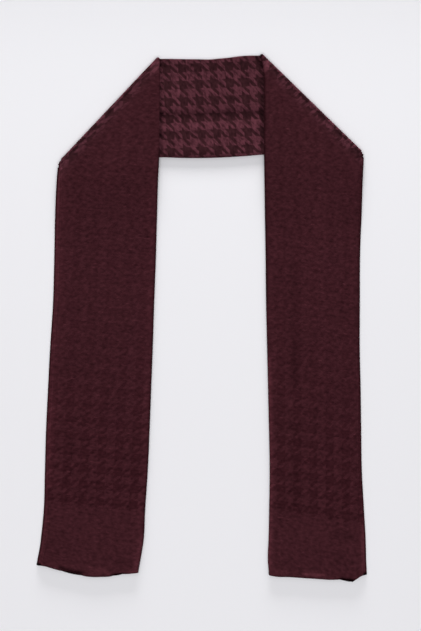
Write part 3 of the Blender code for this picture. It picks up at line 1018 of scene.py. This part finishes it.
# ---------------------------------------------------------------- building

FRONT_CLOTH = jacquard("burgundy_jacquard", roughness=0.70)
NECK_CLOTH = jacquard("burgundy_jacquard_across", roughness=0.62)
HEM_CLOTH = jacquard("burgundy_hem", roughness=0.66)
SEWING = sewing_thread()


def build_front(weave):
    front = weave.front
    name = f"{front.name}_front"
    rows = front_rows(front)
    shell = cloth_piece(f"{name}_cloth", rows, outer_layer(rows), weave, FRONT_CLOTH)
    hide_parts(name)
    layers = cloth_piece(f"{name}_hidden_cloth", rows, hidden_layers(rows), weave, FRONT_CLOTH)
    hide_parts(f"{name}_layers")
    edge = side_hem(f"{front.name}_side_hem_cloth", rows, weave, HEM_CLOTH)
    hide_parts(f"{front.name}_side_hem")
    end = end_hem(f"{front.name}_end_hem_cloth", front, outer_line, weave, HEM_CLOTH)
    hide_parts(f"{front.name}_end_hem")
    inner_end = end_hem(f"{front.name}_hidden_end_hem_cloth", front, hidden_line, weave, HEM_CLOTH)

    top = joined([front_lay(front), triangle_rows(front)])
    side_across = STRIP - top.ledge - HEM_WIDTH + SEWING_IN
    side_path = hem_path(top, side_across, STACK + SEWING_LIFT, weave)
    side_sewing = stitches(f"{front.name}_side_stitches", side_path, SEWING)
    end_at = front.sections[0].y * MM + HEM_WIDTH - SEWING_IN
    end_row = front_rows_at(front, np.full(SEWING_POINTS, end_at))
    end_across = np.linspace(SEWING_START, STRIP - end_row.ledge[0] - HEM_WIDTH, SEWING_POINTS)
    end_path = hem_path(end_row, end_across, STACK + SEWING_LIFT, weave)
    end_sewing = stitches(f"{front.name}_end_stitches", end_path, SEWING)


def build_neck():
    rows = neck_rows()
    weave = Weave(None, NECK_LATTICE, NECK_CREASES, NECK_PAINTED_SHADE, ())
    shell = cloth_piece("neck_cloth", rows, outer_layer(rows), weave, NECK_CLOTH)
    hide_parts("neck")
    layers = cloth_piece("neck_hidden_cloth", rows, hidden_layers(rows), weave, FRONT_CLOTH)
    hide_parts("neck_layers")


def build_floor():
    mesh = bpy.data.meshes.new("floor")
    ways = ((-1, -1), (1, -1), (1, 1), (-1, 1))
    corners = [(FLOOR_REACH * x, FLOOR_REACH * y, 0) for x, y in ways]
    mesh.from_pydata(corners, [], [(0, 1, 2, 3)])
    mesh.materials.append(floor_material())
    floor = bpy.data.objects.new("floor", mesh)
    bpy.context.scene.collection.objects.link(floor)


# ---------------------------------------------------------------- studio

CAMERA_HEIGHT = 3.0
SENSOR = 36.0
FRAME_HEIGHT = 631 * 1.75 * MM  # the picture's rows, each 1.75 mm on the cloth
FRAME_MIDDLE = (15.4 * MM, 4.4 * MM)
ROOM_LOW, ROOM_HIGH = 0.28, 0.52  # strength of the room's light at the horizon and overhead
ROOM_COLOUR = (0.98, 0.98, 1.0, 1)


def build_camera():
    data = bpy.data.cameras.new("camera")
    data.sensor_fit = "VERTICAL"
    data.sensor_height = SENSOR
    data.lens = SENSOR * (CAMERA_HEIGHT - STACK) / FRAME_HEIGHT
    camera = bpy.data.objects.new("camera", data)
    camera.location = (*FRAME_MIDDLE, CAMERA_HEIGHT)
    bpy.context.scene.collection.objects.link(camera)
    bpy.context.scene.camera = camera


def panel(name, place, aim, width, height, power, spread):
    light = bpy.data.lights.new(name, "AREA")
    light.shape = "RECTANGLE"
    light.size, light.size_y = width, height
    light.energy = power
    light.spread = math.radians(spread)
    lamp = bpy.data.objects.new(name, light)
    lamp.location = place
    lamp.rotation_euler = (Vector(place) - Vector(aim)).to_track_quat("Z", "Y").to_euler()
    bpy.context.scene.collection.objects.link(lamp)


def build_lights():
    """A low strip of light beyond the neck, a large soft panel overhead and a dim room."""
    panel(
        "low_strip",
        place=(0.0, 1.12, 0.175),
        aim=(0.0, 0.0, 0.175),
        width=3.0,
        height=0.17,
        power=9.5,
        spread=50.0,
    )
    panel(
        "overhead",
        place=(0.0, -0.8, 2.2),
        aim=(0.0, -0.3, 0.0),
        width=2.4,
        height=1.2,
        power=24.0,
        spread=180.0,
    )
    world = bpy.data.worlds.new("studio")
    world.use_nodes = True
    tree = world.node_tree
    background = tree.nodes["Background"]
    place = tree.nodes.new("ShaderNodeTexCoord")
    split = tree.nodes.new("ShaderNodeSeparateXYZ")
    tree.links.new(place.outputs["Generated"], split.inputs[0])
    rise = tree.nodes.new("ShaderNodeMapRange")
    rise.inputs["From Min"].default_value = 0.0
    rise.inputs["From Max"].default_value = 1.0
    rise.inputs["To Min"].default_value = ROOM_LOW
    rise.inputs["To Max"].default_value = ROOM_HIGH
    tree.links.new(split.outputs[2], rise.inputs["Value"])
    tree.links.new(rise.outputs[0], background.inputs["Strength"])
    background.inputs["Color"].default_value = ROOM_COLOUR
    bpy.context.scene.world = world
    bpy.context.scene.view_settings.view_transform = "Standard"


build_camera()
build_floor()
build_front(Weave(LEFT, LEFT_LATTICE, LEFT_CREASES, LEFT_PAINTED_LIGHT, LEFT_PAINTED_EDGE_LINES))
build_front(Weave(RIGHT, RIGHT_LATTICE, RIGHT_CREASES, RIGHT_PAINTED_LIGHT, RIGHT_PAINTED_EDGE_LINES))
build_neck()
build_lights()
